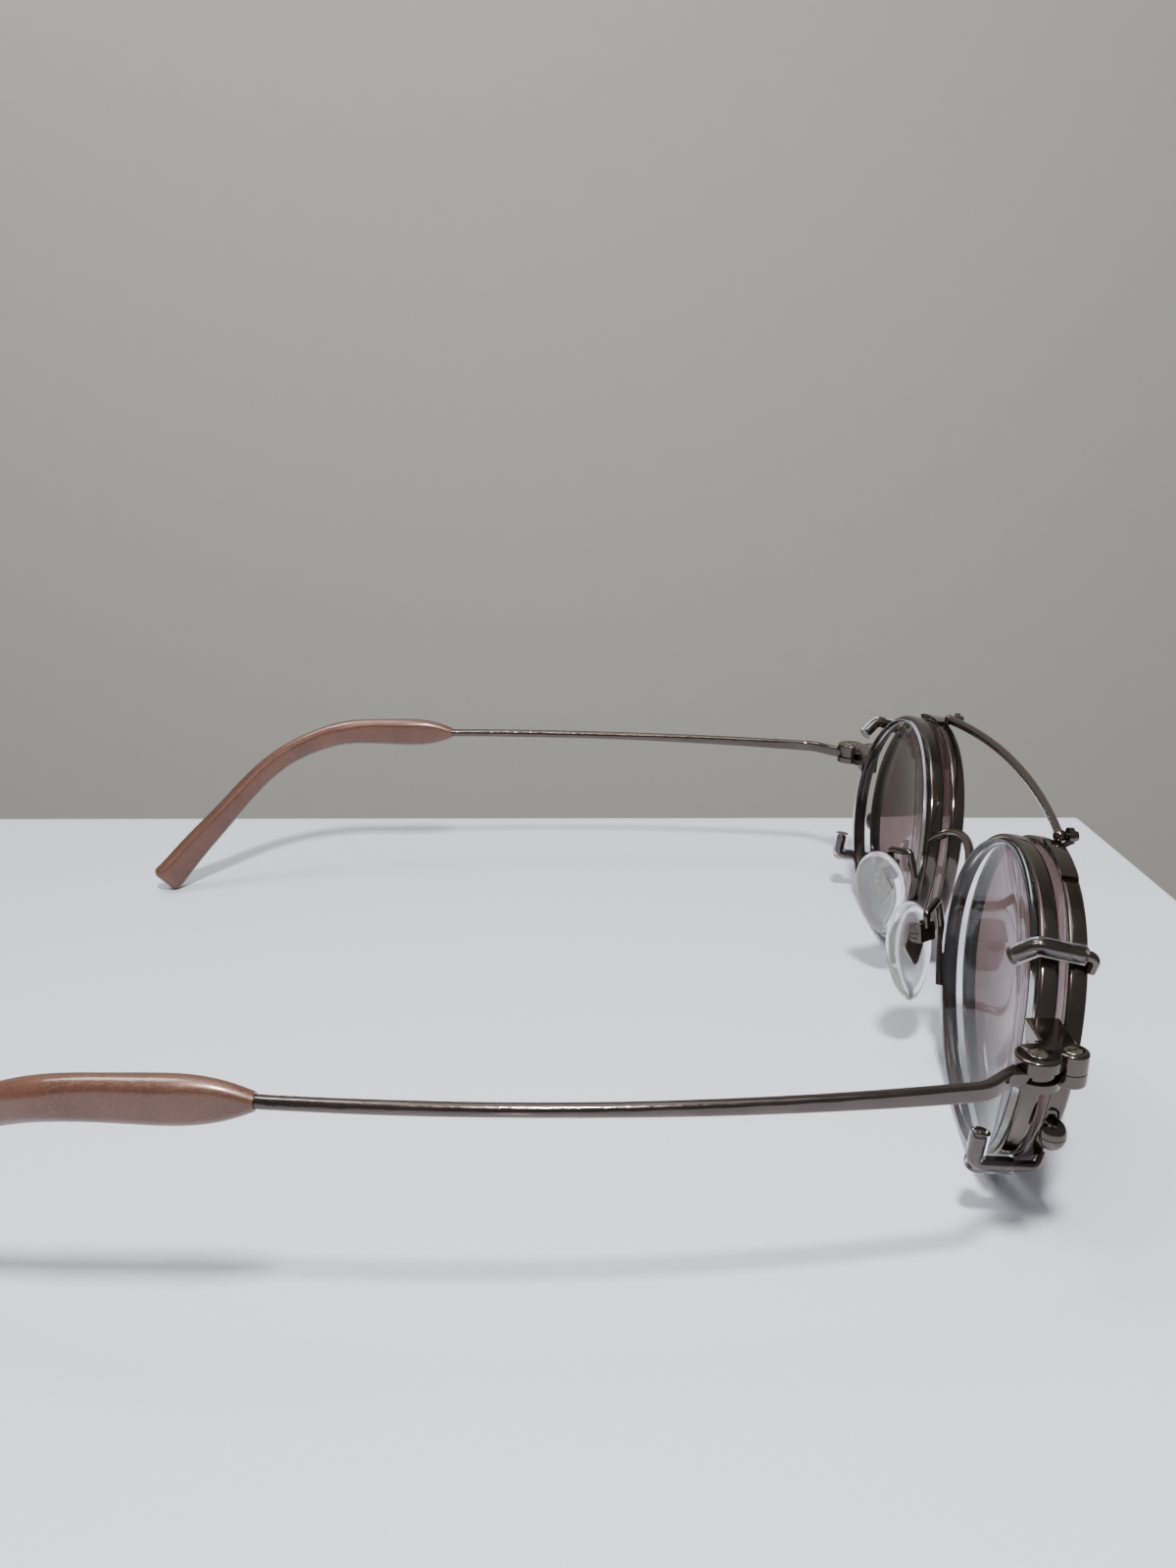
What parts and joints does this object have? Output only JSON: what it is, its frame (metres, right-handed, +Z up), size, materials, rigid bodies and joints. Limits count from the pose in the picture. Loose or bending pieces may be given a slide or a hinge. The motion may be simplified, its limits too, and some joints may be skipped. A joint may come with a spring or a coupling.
{
  "type": "spectacle frame with clip-on tinted lenses",
  "caption": "Oval metal spectacle frame with a matching clip-on pair of tinted lenses held by sleeved hooks, adjustable nose pads and folding temples.",
  "frame": {"origin": "middle of the bounding box in X and Y, on the table under the resting frame", "axes": "+Z up from the table, +Y from the lenses back along the temples, +X towards the wearer's left"},
  "size_m": [0.142, 0.1454, 0.0396],
  "materials": {
    "dark_bronze": "dark antique bronze plating, glossy",
    "clear_lens": "polished clear plastic demo lens",
    "tinted_lens": "polished rosy brown-grey polarised lens",
    "brown_tip": "pearlescent copper brown acetate",
    "clear_silicone": "clear soft silicone",
    "screw_brass": "worn nickel-brass screw heads",
    "screw_steel": "small darkened steel screws"
  },
  "bodies": {
    "front": {"bridge": "dark_bronze", "clip_bar": "dark_bronze", "left_rim": "dark_bronze", "left_demo_lens": "clear_lens", "left_top_plate": "dark_bronze", "left_bottom_plate": "dark_bronze", "left_hinge_screw": "screw_brass", "left_closing_screw": "screw_brass", "left_pad_arm": "dark_bronze", "left_pad_screw": "screw_steel", "left_bar_pin": "dark_bronze", "right_rim": "dark_bronze", "right_demo_lens": "clear_lens", "right_top_plate": "dark_bronze", "right_bottom_plate": "dark_bronze", "right_hinge_screw": "screw_brass", "right_closing_screw": "screw_brass", "right_pad_arm": "dark_bronze", "right_pad_screw": "screw_steel", "right_bar_pin": "dark_bronze"},
    "left_clip": {"left_clip_rim": "dark_bronze", "left_tinted_lens": "tinted_lens", "left_clip_tab": "dark_bronze", "left_clip_lock": "dark_bronze", "left_clip_lock_screw": "screw_steel", "left_upper_hook": "dark_bronze", "left_upper_sleeve": "clear_silicone", "left_lower_hook": "dark_bronze", "left_lower_sleeve": "clear_silicone"},
    "left_temple": {"left_temple": "dark_bronze", "left_temple_tip": "brown_tip"},
    "left_pad": {"left_nose_pad": "clear_silicone", "left_pad_core": "dark_bronze"},
    "right_clip": {"right_clip_rim": "dark_bronze", "right_tinted_lens": "tinted_lens", "right_clip_tab": "dark_bronze", "right_clip_lock": "dark_bronze", "right_clip_lock_screw": "screw_steel", "right_upper_hook": "dark_bronze", "right_upper_sleeve": "clear_silicone", "right_lower_hook": "dark_bronze", "right_lower_sleeve": "clear_silicone"},
    "right_temple": {"right_temple": "dark_bronze", "right_temple_tip": "brown_tip"},
    "right_pad": {"right_nose_pad": "clear_silicone", "right_pad_core": "dark_bronze"}
  },
  "joints": [
    {"name": "left_temple_fold", "type": "hinge", "parent": "front", "child": "left_temple", "pos_m": [0.0596, -0.05963, 0.02375], "axis": [0, -0.0375, 0.9993], "range_deg": [0, 50]},
    {"name": "right_temple_fold", "type": "hinge", "parent": "front", "child": "right_temple", "pos_m": [-0.0596, -0.05963, 0.02375], "axis": [0, 0.0375, -0.9993], "range_deg": [0, 86]},
    {"name": "left_clip_release", "type": "hinge", "parent": "front", "child": "left_clip", "pos_m": [0.0287, -0.07026, 0.03761], "axis": [0, -0.9993, -0.0375], "range_deg": [0, 5]},
    {"name": "right_clip_release", "type": "hinge", "parent": "front", "child": "right_clip", "pos_m": [-0.0287, -0.07026, 0.03761], "axis": [0, 0.9993, 0.0375], "range_deg": [0, 5]},
    {"name": "left_pad_rock", "type": "hinge", "parent": "front", "child": "left_pad", "pos_m": [0.01231, -0.05808, 0.01862], "axis": [0.5948, 0.8033, 0.0301], "range_deg": [-7, 7]},
    {"name": "right_pad_rock", "type": "hinge", "parent": "front", "child": "right_pad", "pos_m": [-0.01231, -0.05808, 0.01862], "axis": [-0.5948, 0.8033, 0.0301], "range_deg": [-7, 7]}
  ]
}
